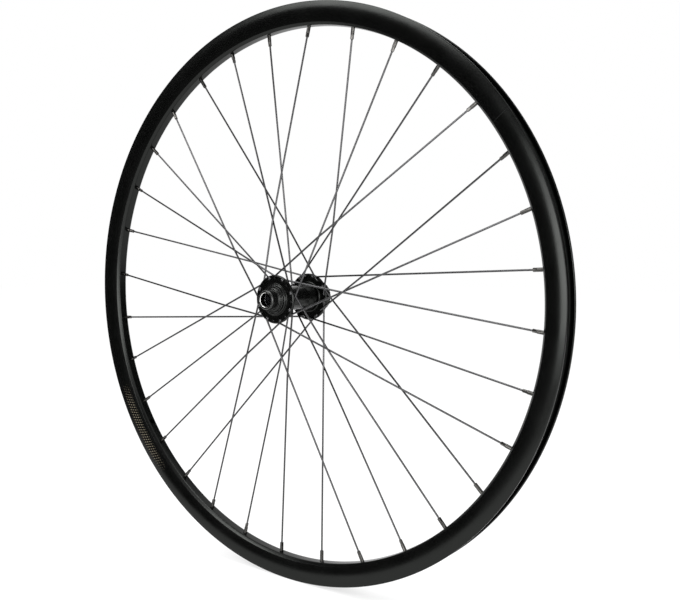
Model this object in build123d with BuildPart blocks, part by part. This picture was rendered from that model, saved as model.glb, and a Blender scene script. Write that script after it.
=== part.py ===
from build123d import *
import os
from math import atan2, cos, radians, sin

# Front bicycle wheel for a disc brake: hollow aluminium rim, wire spokes laced three-cross,
# and a hub with cartridge bearings on a hollow axle for a 15 mm through-axle.
# Frame: origin at the wheel's centre, axle along Y, disc side at +Y, +Z up. Millimetres.
# Sections that are turned about the axle are drawn as (radius, y) on the XY plane.

# Rim
bead_seat_diameter = 622.0
lip_height = 6.0
rim_depth = 23.8
rim_width = 24.0
lip_inset = 1.0
inner_width = 17.0
hook_depth = 2.2
channel_wall = 1.5
well_depth = 4.0
well_width = 8.4
bed_wall = 1.8
side_wall = 1.25
tyre_bed_wall = 1.2
bed_inset = 7.4
bevel_rise = 2.7
bevel_inset = 4.7
shoulder_rise = 12.0
crease_radius = 0.8
shoulder_radius = 35.0
lip_rounding = 1.0
access_hole_diameter = 7.0
valve_hole_diameter = 6.5

# Lacing
spoke_count = 32
crossings = 3
lacing_angle = 40.83
spoke_diameter = 2.0
spoke_head_diameter = 3.8
spoke_head_height = 1.2
spoke_head_taper = 28.0
head_seat_gap = 0.05
elbow_radius = 2.5
elbow_standoff = 2.0
crossing_gap = 0.1
crossing_bend_radius = 60.0

# Nipples
nipple_diameter = 4.0
nipple_head_diameter = 6.0
nipple_head_crop = 1.6
nipple_length = 16.0
nipple_flats = 3.3
nipple_flats_length = 5.0
nipple_thread_gap = 0.1
nipple_hole_gap = 0.3
nipple_seat_gap = 0.4

# Hub shell
over_locknut = 100.0
flange_diameter = 52.6
flange_thickness = 3.2
right_flange_offset = 33.5
left_flange_offset = 24.5
hole_circle_diameter = 47.0
spoke_hole_diameter = 2.6
flange_bevel_width = 1.2
flange_bevel_drop = 0.8
boss_diameter = 34.0
boss_rounding = 1.2
boss_fillet = 0.9
rounding_wall_share = 0.75
neck_diameter = 32.0
neck_length = 5.0
barrel_diameter = 26.4
barrel_bore_diameter = 21.2
flare_length = 9.0
flare_radius = 8.0
flange_fillet = 3.0
left_neck_diameter = 35.0
shell_lip = 1.0

# Splined disc mount
disc_seat_diameter = 42.0
disc_seat_inset = 15.5
disc_seat_thickness = 2.5
spline_diameter = 35.0
spline_count = 36
spline_flute_diameter = 1.6
spline_lip = 6.5

# Cartridge bearings, 17 x 30 x 7
bearing_bore = 17.0
bearing_outside = 30.0
bearing_width = 7.0
bearing_inset = 13.5
race_wall = 1.8
ball_diameter = 4.0
ball_count = 10
groove_clearance = 0.05
seat_clearance = 0.02
race_shoulder_drop = 1.8
race_relief = 2.0
cage_wall = 1.5
cage_back = 2.6
cage_front = 0.8
pocket_clearance = 0.1
seal_thickness = 0.5
seal_recess = 0.1
seal_clearance = 0.08

# Axle sleeve and end caps
axle_bore_diameter = 15.1
sleeve_shoulder = 1.0
cap_diameter = 21.0
cap_socket_length = 5.5
cap_socket_clearance = 0.03
cap_end_gap = 0.1
cap_land = 0.5
cap_land_width = 1.6
collar_diameter = 24.8
collar_length = 2.0
shield_thickness = 1.4
shield_clearance = 0.4
cap_rounding = 0.6
bore_chamfer = 0.8
ring_section = 0.9
ring_clearance = 0.03
ring_groove_width = 1.4
ring_groove_inset = 10.0

# Sizes that follow from those above
seat_radius = bead_seat_diameter / 2
lip_radius = seat_radius + lip_height
bed_radius = lip_radius - rim_depth
well_radius = seat_radius - well_depth
holes_per_flange = spoke_count // 2
hole_pitch = 360 / holes_per_flange
rim_pitch = 360 / spoke_count
lacing_turn = crossings * hole_pitch
spoke_radius = spoke_diameter / 2
hub_hole_radius = hole_circle_diameter / 2
nipple_hole_radius = nipple_diameter / 2 + nipple_hole_gap
nipple_head_radius = nipple_head_diameter / 2
nipple_seat_drop = (nipple_head_radius**2 - nipple_hole_radius**2) ** 0.5
nipple_pivot_radius = bed_radius + bed_wall + nipple_seat_drop + nipple_seat_gap
first_rim_hole = lacing_angle - lacing_turn
valve_angle = first_rim_hole + rim_pitch * (spoke_count // 2 + 5.5)
axle_end = over_locknut / 2
bearing_face = axle_end - bearing_inset
bearing_back = bearing_face - bearing_width
bearing_middle = bearing_face - bearing_width / 2
shell_end = bearing_face + shell_lip
disc_seat = axle_end - disc_seat_inset
disc_back = disc_seat - disc_seat_thickness
spline_end = bearing_face + spline_lip
bore_radius = axle_bore_diameter / 2
sleeve_radius = bearing_bore / 2 - seat_clearance
pitch_radius = (bearing_bore + bearing_outside) / 4
ball_radius = ball_diameter / 2
seat_bore_radius = bearing_outside / 2 + seat_clearance

os.makedirs("parts", exist_ok=True)


def save(piece, name):
    piece.part.label = name
    export_step(piece.part, f"parts/{name}.step")


def direction(angle):
    return Vector(cos(radians(angle)), 0, sin(radians(angle)))


def radial_plane(angle, radius, y=0):
    origin = direction(angle) * radius + Vector(0, y, 0)
    return Plane(origin=origin, x_dir=(0, 1, 0), z_dir=direction(angle))


# Each spoke's route lies in one plane, with x along the spoke and y along the axle: from its head
# through the flange, round the elbow, past the last crossing and on to the nipple's pivot.
# Turn +1 spokes lead anticlockwise seen from the right, -1 spokes the other way.
def spoke_route(flange_y, hub_angle, turn):
    hub_point = direction(hub_angle) * hub_hole_radius
    rim_point = direction(hub_angle + turn * lacing_turn) * nipple_pivot_radius
    span = rim_point - hub_point
    along = span.normalized()
    half_cross = (2 * crossings - 1) * hole_pitch / 2
    hub_share = hub_hole_radius * sin(radians(half_cross))
    rim_share = nipple_pivot_radius * sin(radians(lacing_turn - half_cross))
    crossing = hub_share / (hub_share + rim_share)
    head_y = flange_y + turn * (flange_thickness / 2 + head_seat_gap)
    elbow_y = flange_y - turn * (flange_thickness / 2 + elbow_standoff)
    crossing_y = flange_y * (1 - crossing) + turn * (spoke_radius + crossing_gap / 2)
    plane = Plane(origin=hub_point, x_dir=along, z_dir=along.cross(Vector(0, 1, 0)))
    points = [(0, head_y), (0, elbow_y), (span.length * crossing, crossing_y), (span.length, 0)]
    pull = along * (span.length * (1 - crossing)) - Vector(0, crossing_y, 0)
    nipple_plane = Plane(origin=rim_point, x_dir=pull.cross(Vector(0, 1, 0)), z_dir=pull)
    head_plane = Plane(origin=hub_point + Vector(0, head_y, 0), z_dir=(0, turn, 0))
    return {"plane": plane, "points": points, "head": head_plane, "nipple": nipple_plane}


spoke_routes = {}
for side, flange_y, first_angle in (
    ("right", -right_flange_offset, lacing_angle),
    ("left", left_flange_offset, lacing_angle + hole_pitch / 2),
):
    for k in range(holes_per_flange):
        turn = 1 if k % 2 == 0 else -1
        spoke_routes[f"{side}_spoke_{k + 1:02d}"] = spoke_route(
            flange_y, first_angle + k * hole_pitch, turn
        )

# Rim: a hooked tyre channel over a closed chamber, turned as one hollow section.
# Its sides are bowed and meet the spoke bed at a bevel.
half_width = rim_width / 2
lip_half = half_width - lip_inset
bed_half = half_width - bed_inset
channel_half = lip_half - channel_wall
shoulder_at = bed_radius + shoulder_rise
bevel_half = half_width - bevel_inset
bevel_at = bed_radius + bevel_rise
inner_slope = atan2(bevel_inset, shoulder_rise - bevel_rise)
outer_slope = atan2(lip_inset, lip_radius - shoulder_at)
bow_drop = shoulder_radius * (1 / cos((inner_slope + outer_slope) / 2) - 1)
rim_corners = [
    ((bed_radius, bed_half), crease_radius),
    ((bevel_at, bevel_half), crease_radius),
    ((shoulder_at, half_width), shoulder_radius),
    ((lip_radius, lip_half), lip_rounding),
    ((lip_radius, inner_width / 2), lip_rounding),
    ((lip_radius - hook_depth, inner_width / 2), 0),
    ((seat_radius + hook_depth, channel_half), 0),
    ((seat_radius, channel_half), 0),
    ((seat_radius, well_width / 2 + well_depth / 3), 0),
    ((well_radius, well_width / 2), 0),
]
chamber_top = seat_radius - tyre_bed_wall
chamber_corners = [
    ((bed_radius + bed_wall, bed_half - side_wall / 2), 0),
    ((bevel_at + side_wall / 2, bevel_half - side_wall), 0),
    ((shoulder_at, half_width - bow_drop - side_wall), 0),
    ((chamber_top, lip_half - side_wall), 0),
    ((chamber_top, well_width / 2 + well_depth / 3 + tyre_bed_wall), 0),
    ((well_radius - tyre_bed_wall, well_width / 2 + tyre_bed_wall / 2), 0),
]


def mirrored_loop(corners):
    other_half = [((radius, -y), rounding) for (radius, y), rounding in reversed(corners)]
    return corners + other_half


with BuildPart() as rim:
    with BuildSketch(Plane.XY):
        for corners, mode in ((rim_corners, Mode.ADD), (chamber_corners, Mode.SUBTRACT)):
            loop = mirrored_loop(corners)
            with BuildLine():
                FilletPolyline(*[p for p, _ in loop], radius=[r for _, r in loop], close=True)
            make_face(mode=mode)
    revolve(axis=Axis.Y)
    with BuildSketch(*[route["nipple"] for route in spoke_routes.values()]):
        Circle(nipple_hole_radius)
    extrude(amount=-(nipple_seat_drop + 2 * bed_wall), mode=Mode.SUBTRACT)
    access_angles = [first_rim_hole + k * rim_pitch for k in range(spoke_count)]
    with BuildSketch(*[radial_plane(angle, seat_radius) for angle in access_angles]):
        Circle(access_hole_diameter / 2)
    extrude(amount=-(well_depth + 2 * tyre_bed_wall), mode=Mode.SUBTRACT)
    with BuildSketch(radial_plane(valve_angle, seat_radius)):
        Circle(valve_hole_diameter / 2)
    extrude(amount=-rim_depth, mode=Mode.SUBTRACT)
save(rim, "rim")

# Spokes: one wire each, headed at the flange and bent round its elbow and its last crossing
for name, route in spoke_routes.items():
    with BuildPart() as spoke:
        with BuildLine(route["plane"]) as wire:
            FilletPolyline(*route["points"], radius=[elbow_radius, crossing_bend_radius])
        with BuildSketch(route["head"]):
            Circle(spoke_radius)
        sweep(path=wire.line)
        with BuildSketch(route["head"]):
            Circle(spoke_head_diameter / 2)
        extrude(amount=spoke_head_height, taper=spoke_head_taper)
    save(spoke, name)

# Nipples: a ball-seated head inside the rim, a round shank and a square end for the spoke key
with BuildPart() as nipple:
    Sphere(nipple_head_radius)
    with BuildSketch(Plane.XY.offset(nipple_head_crop)):
        Circle(nipple_head_radius)
    extrude(amount=nipple_head_radius, mode=Mode.SUBTRACT)
    with BuildSketch(Plane.XY):
        Circle(nipple_diameter / 2)
    extrude(amount=-(nipple_length - nipple_flats_length))
    with BuildSketch(Plane.XY.offset(-(nipple_length - nipple_flats_length))):
        Circle(nipple_diameter / 2)
        Rectangle(nipple_flats, nipple_flats, mode=Mode.INTERSECT)
    extrude(amount=-nipple_flats_length)
    with BuildSketch(Plane.XY.offset(nipple_head_crop)):
        Circle(spoke_radius + nipple_thread_gap)
    extrude(amount=-(nipple_length + nipple_head_crop), mode=Mode.SUBTRACT)

with BuildPart() as nipples:
    with Locations(*[route["nipple"].location for route in spoke_routes.values()]):
        add(nipple.part)
save(nipples, "spoke_nipples")

# Hub shell: turned body with two drilled flanges, bearing seats and a fluted disc mount
right_out = -(right_flange_offset + flange_thickness / 2)
right_in = -(right_flange_offset - flange_thickness / 2)
left_in = left_flange_offset - flange_thickness / 2
left_out = left_flange_offset + flange_thickness / 2
boss_radius = boss_diameter / 2
neck_radius = neck_diameter / 2
barrel_radius = barrel_diameter / 2
flange_radius = flange_diameter / 2
bevel_radius = flange_radius - flange_bevel_width
race_shoulder_radius = bearing_outside / 2 - race_shoulder_drop
relief_end = bearing_back - race_relief
barrel_bore_radius = barrel_bore_diameter / 2
disc_seat_radius = disc_seat_diameter / 2
spline_radius = spline_diameter / 2
boss_edge = min(boss_rounding, rounding_wall_share * (boss_radius - seat_bore_radius))
spline_edge = min(boss_rounding / 2, rounding_wall_share * (spline_radius - seat_bore_radius))
shell_corners = [
    ((boss_radius, -shell_end), boss_edge),
    ((boss_radius, right_out), boss_fillet),
    ((bevel_radius, right_out), 0),
    ((flange_radius, right_out + flange_bevel_drop), 0),
    ((flange_radius, right_in - flange_bevel_drop), 0),
    ((bevel_radius, right_in), 0),
    ((neck_radius, right_in), flange_fillet),
    ((neck_radius, right_in + neck_length), flange_fillet),
    ((barrel_radius, right_in + neck_length + flare_length), flare_radius),
    ((barrel_radius, left_in - neck_length - flare_length), flare_radius),
    ((neck_radius, left_in - neck_length), flange_fillet),
    ((neck_radius, left_in), flange_fillet / 2),
    ((bevel_radius, left_in), 0),
    ((flange_radius, left_in + flange_bevel_drop), 0),
    ((flange_radius, left_out - flange_bevel_drop), 0),
    ((bevel_radius, left_out), 0),
    ((left_neck_diameter / 2, left_out), flange_fillet / 2),
    ((left_neck_diameter / 2, disc_back), 0),
    ((disc_seat_radius, disc_back), 0),
    ((disc_seat_radius, disc_seat), 0),
    ((spline_radius, disc_seat), 0),
    ((spline_radius, spline_end), spline_edge),
    ((seat_bore_radius, spline_end), 0),
    ((seat_bore_radius, bearing_back), 0),
    ((race_shoulder_radius, bearing_back), 0),
    ((race_shoulder_radius, relief_end), 0),
    ((barrel_bore_radius, relief_end), 0),
    ((barrel_bore_radius, -relief_end), 0),
    ((race_shoulder_radius, -relief_end), 0),
    ((race_shoulder_radius, -bearing_back), 0),
    ((seat_bore_radius, -bearing_back), 0),
    ((seat_bore_radius, -shell_end), 0),
]
with BuildPart() as hub_shell:
    with BuildSketch(Plane.XY):
        with BuildLine():
            FilletPolyline(*[p for p, _ in shell_corners], radius=[r for _, r in shell_corners], close=True)
        make_face()
    revolve(axis=Axis.Y)
    with BuildSketch(Plane.XZ.offset(-spline_end)):
        with PolarLocations(spline_radius, spline_count):
            Circle(spline_flute_diameter / 2)
    extrude(amount=spline_end - disc_seat, mode=Mode.SUBTRACT)
    for flange_y, first_angle in (
        (-right_flange_offset, lacing_angle),
        (left_flange_offset, lacing_angle + hole_pitch / 2),
    ):
        with BuildSketch(Plane.XZ.offset(-flange_y)):
            with PolarLocations(hub_hole_radius, holes_per_flange, start_angle=first_angle):
                Circle(spoke_hole_diameter / 2)
        extrude(amount=flange_thickness, both=True, mode=Mode.SUBTRACT)
save(hub_shell, "hub_shell")

# Axle sleeve: a hollow axle with a raised middle that spaces the two inner races
shoulder_y = bearing_back
sleeve_end = axle_end - bearing_inset + cap_socket_length - cap_end_gap
with BuildPart() as axle_sleeve:
    with BuildSketch(Plane.XY):
        with BuildLine():
            Polyline(
                (bore_radius, -sleeve_end),
                (sleeve_radius, -sleeve_end),
                (sleeve_radius, -shoulder_y),
                (sleeve_radius + sleeve_shoulder, -shoulder_y),
                (sleeve_radius + sleeve_shoulder, shoulder_y),
                (sleeve_radius, shoulder_y),
                (sleeve_radius, sleeve_end),
                (bore_radius, sleeve_end),
                close=True,
            )
        make_face()
    revolve(axis=Axis.Y)
save(axle_sleeve, "axle_sleeve")

# Bearings, end caps and rings, the same on both sides
inner_race_radius = bearing_bore / 2 + race_wall
outer_race_radius = bearing_outside / 2 - race_wall
groove_radius = ball_radius + groove_clearance
cap_radius = cap_diameter / 2
socket_radius = sleeve_radius + cap_socket_clearance
ring_groove_radius = socket_radius + ring_section + ring_clearance
land_radius = sleeve_radius + cap_land_width
shield_radius = seat_bore_radius - shield_clearance
shield_inner = bearing_face + cap_land
shield_outer = shield_inner + shield_thickness
socket_end = bearing_face + cap_socket_length
ring_y = axle_end - ring_groove_inset - ring_groove_width / 2
for side, facing in (("right", -1), ("left", 1)):
    middle = facing * bearing_middle
    with BuildPart() as outer_race:
        with BuildSketch(Plane.XY):
            with Locations(((bearing_outside / 2 + outer_race_radius) / 2, middle)):
                Rectangle(race_wall, bearing_width)
            with Locations((pitch_radius, middle)):
                Circle(groove_radius, mode=Mode.SUBTRACT)
        revolve(axis=Axis.Y)
    save(outer_race, f"{side}_bearing_outer_race")

    with BuildPart() as inner_race:
        with BuildSketch(Plane.XY):
            with Locations(((bearing_bore / 2 + inner_race_radius) / 2, middle)):
                Rectangle(race_wall, bearing_width)
            with Locations((pitch_radius, middle)):
                Circle(groove_radius, mode=Mode.SUBTRACT)
        revolve(axis=Axis.Y)
    save(inner_race, f"{side}_bearing_inner_race")

    ball_angles = [k * 360 / ball_count for k in range(ball_count)]
    with BuildPart() as balls:
        with Locations(*[direction(angle) * pitch_radius + Vector(0, middle, 0) for angle in ball_angles]):
            Sphere(ball_radius)
    save(balls, f"{side}_bearing_balls")

    with BuildPart() as cage:
        with BuildSketch(Plane.XY):
            with Locations((pitch_radius, middle + facing * (cage_front - cage_back) / 2)):
                Rectangle(cage_wall, cage_back + cage_front)
        revolve(axis=Axis.Y)
        with BuildSketch(*[radial_plane(angle, pitch_radius, middle) for angle in ball_angles]):
            Circle(ball_radius + pocket_clearance)
        extrude(amount=cage_wall, both=True, mode=Mode.SUBTRACT)
    save(cage, f"{side}_bearing_cage")

    with BuildPart() as seals:
        with BuildSketch(Plane.XY):
            seal_offset = bearing_width / 2 - seal_recess - seal_thickness / 2
            with Locations((pitch_radius, middle - seal_offset), (pitch_radius, middle + seal_offset)):
                Rectangle(outer_race_radius - inner_race_radius - 2 * seal_clearance, seal_thickness)
        revolve(axis=Axis.Y)
    save(seals, f"{side}_bearing_seals")

    cap_corners = [
        ((bore_radius, axle_end - bore_chamfer), 0),
        ((bore_radius + bore_chamfer, axle_end), 0),
        ((cap_radius, axle_end), cap_rounding),
        ((cap_radius, shield_outer + collar_length), cap_rounding / 2),
        ((collar_diameter / 2, shield_outer + collar_length), cap_rounding),
        ((collar_diameter / 2, shield_outer), cap_rounding / 2),
        ((shield_radius, shield_outer), cap_rounding / 2),
        ((shield_radius, shield_inner), 0),
        ((land_radius, shield_inner), 0),
        ((land_radius, bearing_face), 0),
        ((socket_radius, bearing_face), 0),
        ((socket_radius, ring_y - ring_groove_width / 2), 0),
        ((ring_groove_radius, ring_y - ring_groove_width / 2), 0),
        ((ring_groove_radius, ring_y + ring_groove_width / 2), 0),
        ((socket_radius, ring_y + ring_groove_width / 2), 0),
        ((socket_radius, socket_end), 0),
        ((bore_radius, socket_end), 0),
    ]
    with BuildPart() as end_cap:
        with BuildSketch(Plane.XY):
            with BuildLine():
                FilletPolyline(
                    *[(radius, facing * y) for (radius, y), _ in cap_corners],
                    radius=[r for _, r in cap_corners],
                    close=True,
                )
            make_face()
        revolve(axis=Axis.Y)
    save(end_cap, f"{side}_end_cap")

    with BuildPart() as cap_ring:
        with BuildSketch(Plane.XY):
            with Locations(((socket_radius + ring_groove_radius) / 2, facing * ring_y)):
                Circle(ring_section / 2)
        revolve(axis=Axis.Y)
    save(cap_ring, f"{side}_cap_ring")
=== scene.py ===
import math

import bmesh
import bpy
from mathutils import Matrix, Vector


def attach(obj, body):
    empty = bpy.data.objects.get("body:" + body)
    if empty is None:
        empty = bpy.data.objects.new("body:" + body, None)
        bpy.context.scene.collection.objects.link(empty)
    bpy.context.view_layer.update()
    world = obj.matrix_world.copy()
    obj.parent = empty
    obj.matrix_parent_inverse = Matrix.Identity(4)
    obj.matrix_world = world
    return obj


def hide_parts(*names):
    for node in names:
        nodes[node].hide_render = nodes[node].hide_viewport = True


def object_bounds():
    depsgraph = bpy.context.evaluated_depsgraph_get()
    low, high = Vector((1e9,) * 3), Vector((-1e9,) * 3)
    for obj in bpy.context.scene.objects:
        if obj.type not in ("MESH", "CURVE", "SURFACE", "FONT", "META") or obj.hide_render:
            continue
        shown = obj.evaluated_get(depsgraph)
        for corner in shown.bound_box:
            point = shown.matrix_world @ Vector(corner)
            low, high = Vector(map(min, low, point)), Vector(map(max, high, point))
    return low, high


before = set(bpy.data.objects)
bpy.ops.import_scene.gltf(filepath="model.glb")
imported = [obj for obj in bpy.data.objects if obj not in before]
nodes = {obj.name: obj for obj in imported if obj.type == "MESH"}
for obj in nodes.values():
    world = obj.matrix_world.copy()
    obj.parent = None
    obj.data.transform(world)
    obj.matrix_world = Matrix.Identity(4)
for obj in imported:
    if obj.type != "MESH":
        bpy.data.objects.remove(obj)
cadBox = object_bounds()
mm = 0.001
print("frame loaded with", len(nodes), "nodes")


def linear(hexColour):  # sRGB hex to the linear colour that shaders take
    channels = [int(hexColour[i:i + 2], 16) / 255 for i in (1, 3, 5)]
    return [c / 12.92 if c <= 0.04045 else ((c + 0.055) / 1.055) ** 2.4 for c in channels] + [1]


def addNode(tree, kind, links=None, values=None, **settings):
    node = tree.nodes.new(kind)
    for name, value in settings.items():
        setattr(node, name, value)
    for socket, value in (values or {}).items():
        node.inputs[socket].default_value = value
    for socket, source in (links or {}).items():
        tree.links.new(source, node.inputs[socket])
    return node


def newMaterial(name):
    material = bpy.data.materials.new(name)
    material.use_nodes = True
    tree = material.node_tree
    tree.nodes.clear()
    shader = addNode(tree, "ShaderNodeBsdfPrincipled")
    addNode(tree, "ShaderNodeOutputMaterial", {"Surface": shader.outputs[0]})
    place = addNode(tree, "ShaderNodeTexCoord").outputs["Object"]
    return material, tree, shader, place


def distanceFromAxle(tree, place):  # the axle lies along Y
    flat = addNode(tree, "ShaderNodeVectorMath", {0: place}, {1: (1, 0, 1)}, operation="MULTIPLY")
    return addNode(tree, "ShaderNodeVectorMath", {0: flat.outputs[0]}, operation="LENGTH").outputs["Value"]


noiseSpan = {"From Min": 0.3, "From Max": 0.7}  # where nearly all of a noise lies

# Satin black anodised rim: blasted matt first, so lamps show as soft wide bands and the grain is a fine dust
rimFinish = {
    "black": "#2b2c2b",
    "roughness": (0.2, 0.26),
    "seatHalf": 9.6 * mm,  # tyre seats are left as extruded, and rougher
    "seatRadius": 311.2 * mm,
    "seatReach": 1.3 * mm,
    "seatRoughness": 0.35,  # on top of the rim's own
    "smudgeSize": 34 * mm,
    "grainSize": 0.7 * mm,  # the real blast grain is nearer 0.15 mm: coarser here, to show at all
    "grainHeight": 0.012 * mm,
    "tan": "#5e584b",
    "hatchMiddle": -144.3,  # degrees round the rim
    "hatchHalf": 64 * mm,
    "hatchFade": 30 * mm,
    "hatchPitch": 3.6 * mm,
    "hatchStroke": 0.55 * mm,  # half a stroke's width
    "hatchRadius": 305.6 * mm,
    "hatchReach": 5.4 * mm,
    "hatchSlant": 0.55,
    "rowPitch": 3.0 * mm,
    "rowStroke": 0.9 * mm,  # half a row's width
    "hatchSide": -8 * mm,
}


def rimMaterial(name, finish):
    material, tree, shader, place = newMaterial(name)
    smooth, dull = finish["roughness"]
    smudge = addNode(
        tree, "ShaderNodeTexNoise", {"Vector": place},
        {"Scale": 1 / finish["smudgeSize"], "Detail": 3.0, "Roughness": 0.55},
    )
    grain = addNode(
        tree, "ShaderNodeTexNoise", {"Vector": place},
        {"Scale": 1 / finish["grainSize"], "Detail": 1.0},
    )
    rough = addNode(
        tree, "ShaderNodeMapRange", {"Value": smudge.outputs[0]},
        {**noiseSpan, "To Min": smooth, "To Max": dull},
    )
    bump = addNode(
        tree, "ShaderNodeBump", {"Height": grain.outputs[0]},
        {"Strength": 1.0, "Distance": finish["grainHeight"]},
    )
    # a plain slanted hatch in tan, round part of the right side only, thinning out at both ends
    axes = addNode(tree, "ShaderNodeSeparateXYZ", {0: place})
    radius = distanceFromAxle(tree, place)
    angle = addNode(
        tree, "ShaderNodeMath", {0: axes.outputs["Z"], 1: axes.outputs["X"]}, operation="ARCTAN2",
    ).outputs[0]
    middle = -math.radians(finish["hatchMiddle"]) * finish["hatchRadius"]
    arc = addNode(
        tree, "ShaderNodeMath", {0: angle}, {1: finish["hatchRadius"], 2: middle}, operation="MULTIPLY_ADD",
    ).outputs[0]
    slanted = addNode(
        tree, "ShaderNodeMath", {0: radius, 2: arc}, {1: finish["hatchSlant"]}, operation="MULTIPLY_ADD",
    ).outputs[0]
    along = addNode(
        tree, "ShaderNodeMath", {0: slanted}, {1: finish["hatchPitch"] / 2}, operation="PINGPONG",
    ).outputs[0]
    fromMiddle = addNode(tree, "ShaderNodeMath", {0: arc}, operation="ABSOLUTE").outputs[0]
    stroke = addNode(
        tree, "ShaderNodeMapRange", {"Value": fromMiddle},
        {
            "From Min": finish["hatchHalf"] - finish["hatchFade"], "From Max": finish["hatchHalf"],
            "To Min": finish["hatchStroke"], "To Max": 0.0,
        },
    ).outputs[0]
    inStroke = addNode(tree, "ShaderNodeMath", {0: along, 1: stroke}, operation="LESS_THAN").outputs[0]
    across = addNode(
        tree, "ShaderNodeMath", {0: radius}, {1: finish["hatchRadius"]}, operation="SUBTRACT",
    ).outputs[0]
    row = addNode(
        tree, "ShaderNodeMath", {0: across}, {1: finish["rowPitch"] / 2}, operation="PINGPONG",
    ).outputs[0]
    inRow = addNode(
        tree, "ShaderNodeMath", {0: row}, {1: finish["rowStroke"]}, operation="LESS_THAN",
    ).outputs[0]
    inBand = addNode(
        tree, "ShaderNodeMath", {0: across}, {1: 0.0, 2: finish["hatchReach"]}, operation="COMPARE",
    ).outputs[0]
    onSide = addNode(
        tree, "ShaderNodeMath", {0: axes.outputs["Y"]}, {1: finish["hatchSide"]}, operation="LESS_THAN",
    ).outputs[0]
    hatch = inStroke
    for limit in (inRow, inBand, onSide):
        hatch = addNode(tree, "ShaderNodeMath", {0: hatch, 1: limit}, operation="MULTIPLY").outputs[0]
    colour = addNode(
        tree, "ShaderNodeMix", {"Factor": hatch}, {6: linear(finish["black"]), 7: linear(finish["tan"])},
        data_type="RGBA",
    )
    bare = addNode(tree, "ShaderNodeMath", {1: hatch}, {0: 1.0}, operation="SUBTRACT").outputs[0]
    # the two tyre seats, inside the lips
    between = addNode(
        tree, "ShaderNodeMath", {0: axes.outputs["Y"]}, {1: 0.0, 2: finish["seatHalf"]}, operation="COMPARE",
    ).outputs[0]
    level = addNode(
        tree, "ShaderNodeMath", {0: radius}, {1: finish["seatRadius"], 2: finish["seatReach"]},
        operation="COMPARE",
    ).outputs[0]
    onSeat = addNode(tree, "ShaderNodeMath", {0: between, 1: level}, operation="MULTIPLY").outputs[0]
    spread = addNode(
        tree, "ShaderNodeMath", {0: onSeat, 2: rough.outputs[0]}, {1: finish["seatRoughness"]},
        operation="MULTIPLY_ADD",
    ).outputs[0]
    tree.links.new(colour.outputs[2], shader.inputs["Base Color"])
    tree.links.new(bare, shader.inputs["Metallic"])
    tree.links.new(spread, shader.inputs["Roughness"])
    tree.links.new(bump.outputs[0], shader.inputs["Normal"])
    return material


# Turned anodised aluminium: lathe rings run round the axle, and a dark or clear film lies over the metal.
# The caps' bores are cut after anodising, so the chamfer at each mouth is bare.
turnedFinishes = {
    "turnedBlackHub": {
        "colour": "#282928", "worn": "#2c2d2c", "roughness": (0.2, 0.26), "ring": 0.9 * mm,
    },
    "turnedBlackCap": {
        "colour": "#434443", "worn": "#484948", "roughness": (0.25, 0.29), "ring": 0.7 * mm,
        "bare": "#e2e2e0", "bareRadius": 8.02 * mm, "bareFrom": 49.1 * mm, "bareRoughness": 0.1,
    },
    "turnedClearSleeve": {
        "colour": "#b9babd", "worn": "#a3a4a8", "roughness": (0.2, 0.36), "ring": 0.6 * mm,
    },
}
ringHeight = 0.0003 * mm  # a real lathe feed is about 0.1 mm: these rings are coarser, and very shallow
wearSize = 9 * mm  # of the patches where the film is a little worn


def turnedMaterial(name, finish):
    material, tree, shader, place = newMaterial(name)
    smooth, dull = finish["roughness"]
    axes = addNode(tree, "ShaderNodeSeparateXYZ", {0: place})
    radius = distanceFromAxle(tree, place)
    feed = addNode(tree, "ShaderNodeMath", {0: radius, 1: axes.outputs["Y"]}, operation="ADD").outputs[0]
    rings = addNode(
        tree, "ShaderNodeTexNoise", {"W": feed}, {"Scale": 1 / finish["ring"], "Detail": 2.0},
        noise_dimensions="1D",
    )
    wear = addNode(
        tree, "ShaderNodeTexNoise", {"Vector": place},
        {"Scale": 1 / wearSize, "Detail": 4.0, "Roughness": 0.6},
    )
    colour = addNode(
        tree, "ShaderNodeMix", {"Factor": wear.outputs[0]},
        {6: linear(finish["colour"]), 7: linear(finish["worn"])}, data_type="RGBA",
    )
    rough = addNode(
        tree, "ShaderNodeMapRange", {"Value": rings.outputs[0]},
        {**noiseSpan, "To Min": smooth, "To Max": dull},
    )
    bump = addNode(
        tree, "ShaderNodeBump", {"Height": rings.outputs[0]}, {"Strength": 1.0, "Distance": ringHeight},
    )
    shown = colour.outputs[2]
    spread = rough.outputs[0]
    if "bare" in finish:
        outY = addNode(tree, "ShaderNodeMath", {0: axes.outputs["Y"]}, operation="ABSOLUTE").outputs[0]
        atMouth = addNode(
            tree, "ShaderNodeMath", {0: outY}, {1: finish["bareFrom"]}, operation="GREATER_THAN",
        ).outputs[0]
        inside = addNode(
            tree, "ShaderNodeMath", {0: radius}, {1: finish["bareRadius"]}, operation="LESS_THAN",
        ).outputs[0]
        chamfer = addNode(tree, "ShaderNodeMath", {0: atMouth, 1: inside}, operation="MULTIPLY").outputs[0]
        shown = addNode(
            tree, "ShaderNodeMix", {"Factor": chamfer, 6: shown}, {7: linear(finish["bare"])},
            data_type="RGBA",
        ).outputs[2]
        spread = addNode(
            tree, "ShaderNodeMath", {0: chamfer, 2: spread}, {1: finish["bareRoughness"]},
            operation="MULTIPLY_ADD",
        ).outputs[0]
    shader.inputs["Metallic"].default_value = 1.0
    tree.links.new(shown, shader.inputs["Base Color"])
    tree.links.new(spread, shader.inputs["Roughness"])
    tree.links.new(bump.outputs[0], shader.inputs["Normal"])
    return material


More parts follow.
